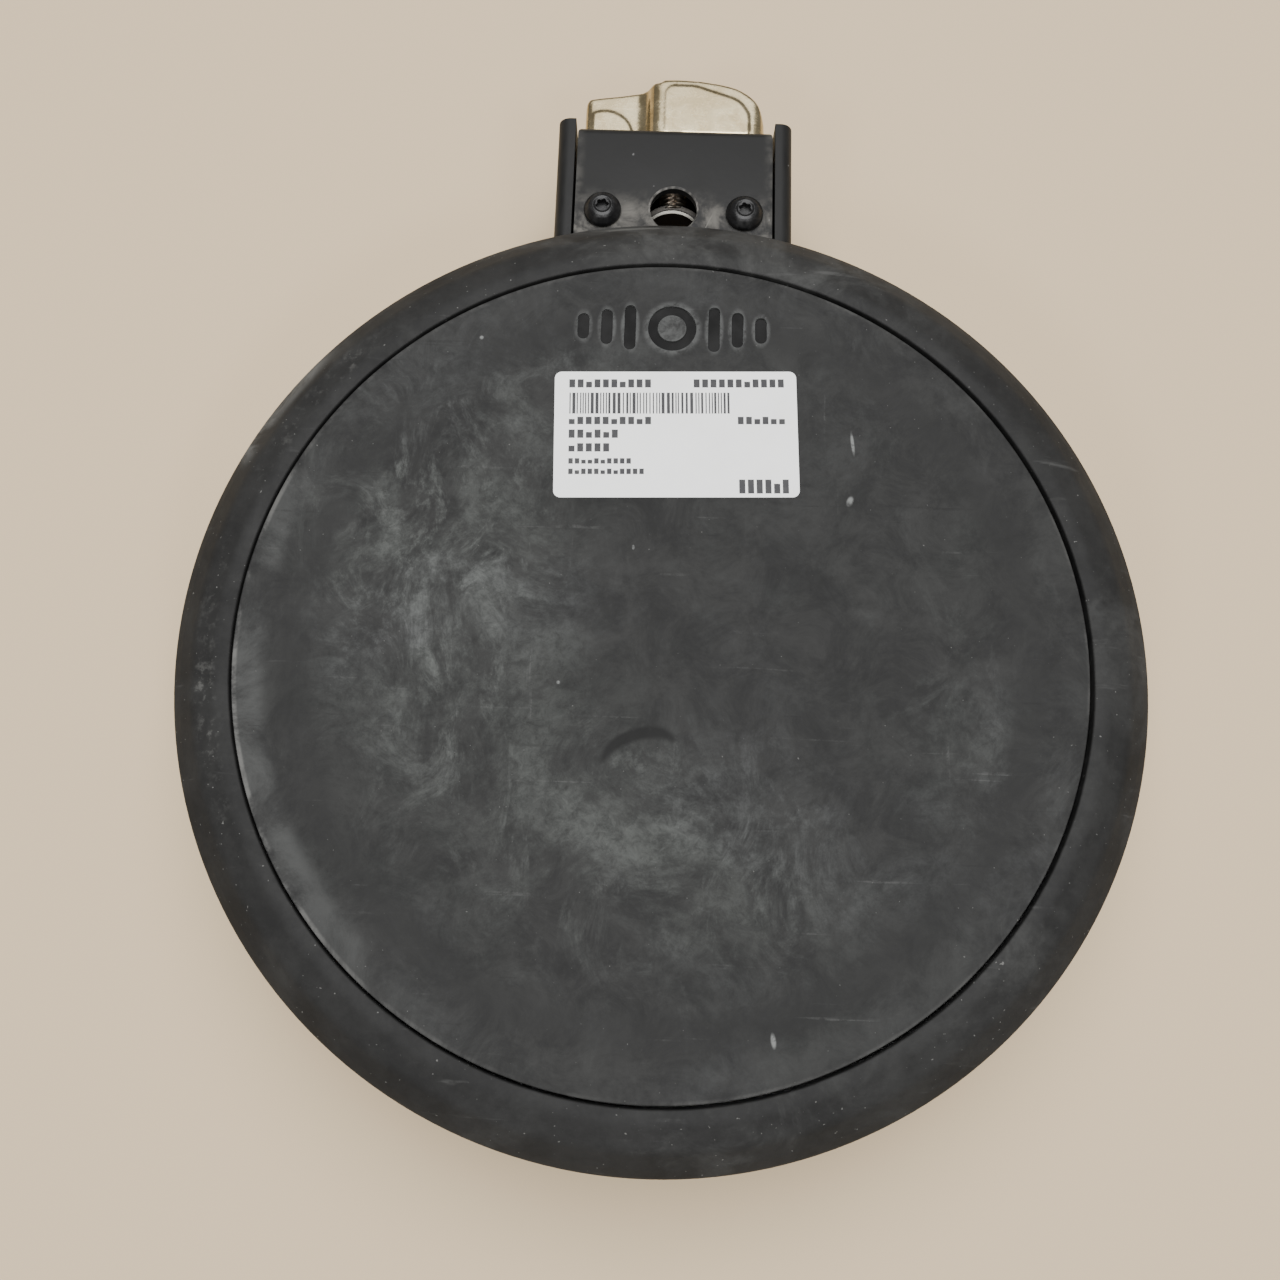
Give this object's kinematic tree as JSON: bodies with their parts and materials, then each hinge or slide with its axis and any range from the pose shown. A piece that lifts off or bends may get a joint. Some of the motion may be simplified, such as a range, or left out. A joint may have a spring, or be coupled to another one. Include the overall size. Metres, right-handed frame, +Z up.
{
  "type": "practice pad",
  "caption": "Round rubber-faced electronic drum practice pad with a rubber rim zone, a moulded case and a rear rod holder clamped by an eye bolt and wing nut.",
  "frame": {"origin": "centre of the case's flat underside", "axes": "+Z up through the striking face, +Y towards the rod holder and wing nut, +X to the right seen from above with the holder at the top"},
  "size_m": [0.215, 0.2667, 0.064],
  "materials": {
    "rubber": "matt moulded rubber with chalky wear",
    "black_steel": "satin black paint",
    "black_screw": "black oxide",
    "zinc_steel": "zinc plated",
    "nickel": "warm nickel plating on a casting",
    "case_plastic": "fine texture, black",
    "foam": "closed-cell foam, dark grey",
    "film": "amber polyester film",
    "brass": "plain",
    "ceramic": "silvered ceramic",
    "board": "green circuit board",
    "jack_plastic": "black",
    "paper": "white coated paper",
    "lead_red": "red insulation",
    "lead_black": "black insulation"
  },
  "bodies": {
    "pad": {"head_rubber": "rubber", "rim_rubber": "rubber", "holder_channel": "black_steel", "holder_plate": "black_steel", "case_screw_1": "black_screw", "case_screw_2": "black_screw", "case_screw_3": "black_screw", "case_screw_4": "black_screw", "case_screw_5": "black_screw", "case_screw_6": "black_screw", "case_screw_7": "black_screw", "case_screw_8": "black_screw", "lobe_screw_left": "black_screw", "lobe_screw_right": "black_screw", "head_plate": "zinc_steel", "holder_screw_left": "zinc_steel", "holder_screw_right": "zinc_steel", "post_left": "zinc_steel", "post_right": "zinc_steel", "post_screw_left": "zinc_steel", "post_screw_right": "zinc_steel", "sleeve_left": "zinc_steel", "sleeve_right": "zinc_steel", "flat_washer": "zinc_steel", "jack_bush": "zinc_steel", "jack_nut": "zinc_steel", "jack_washer": "zinc_steel", "board_screw_1": "zinc_steel", "board_screw_2": "zinc_steel", "bottom_case": "case_plastic", "head_cushion": "foam", "piezo_foam": "foam", "rim_film_lower": "film", "rim_film_spacer": "film", "rim_film_upper": "film", "piezo_brass_disc": "brass", "jack_tip_spring": "brass", "jack_sleeve_spring": "brass", "piezo_ceramic": "ceramic", "trigger_board": "board", "jack_body": "jack_plastic", "price_label": "paper", "piezo_lead_signal": "lead_red", "rim_lead_signal": "lead_red", "jack_lead_tip": "lead_red", "piezo_lead_ground": "lead_black", "rim_lead_ground": "lead_black", "jack_lead_sleeve": "lead_black"},
    "nut": {"wing_nut": "nickel"},
    "bolt": {"eye_bolt": "nickel"}
  },
  "joints": [
    {"name": "wing_nut_turn", "type": "hinge", "parent": "pad", "child": "nut", "pos_m": [0, 0.1405, 0.0372], "axis": [0, -1, 0], "range_deg": [-270, 1035]},
    {"name": "eye_bolt_slide", "type": "slide", "parent": "pad", "child": "bolt", "axis": [0, 1, 0], "range_m": [-0.00095, 0.0036]}
  ],
  "couplings": [
    {"joint": "eye_bolt_slide", "follows": "wing_nut_turn", "m_per_rad": 0.00019894}
  ]
}
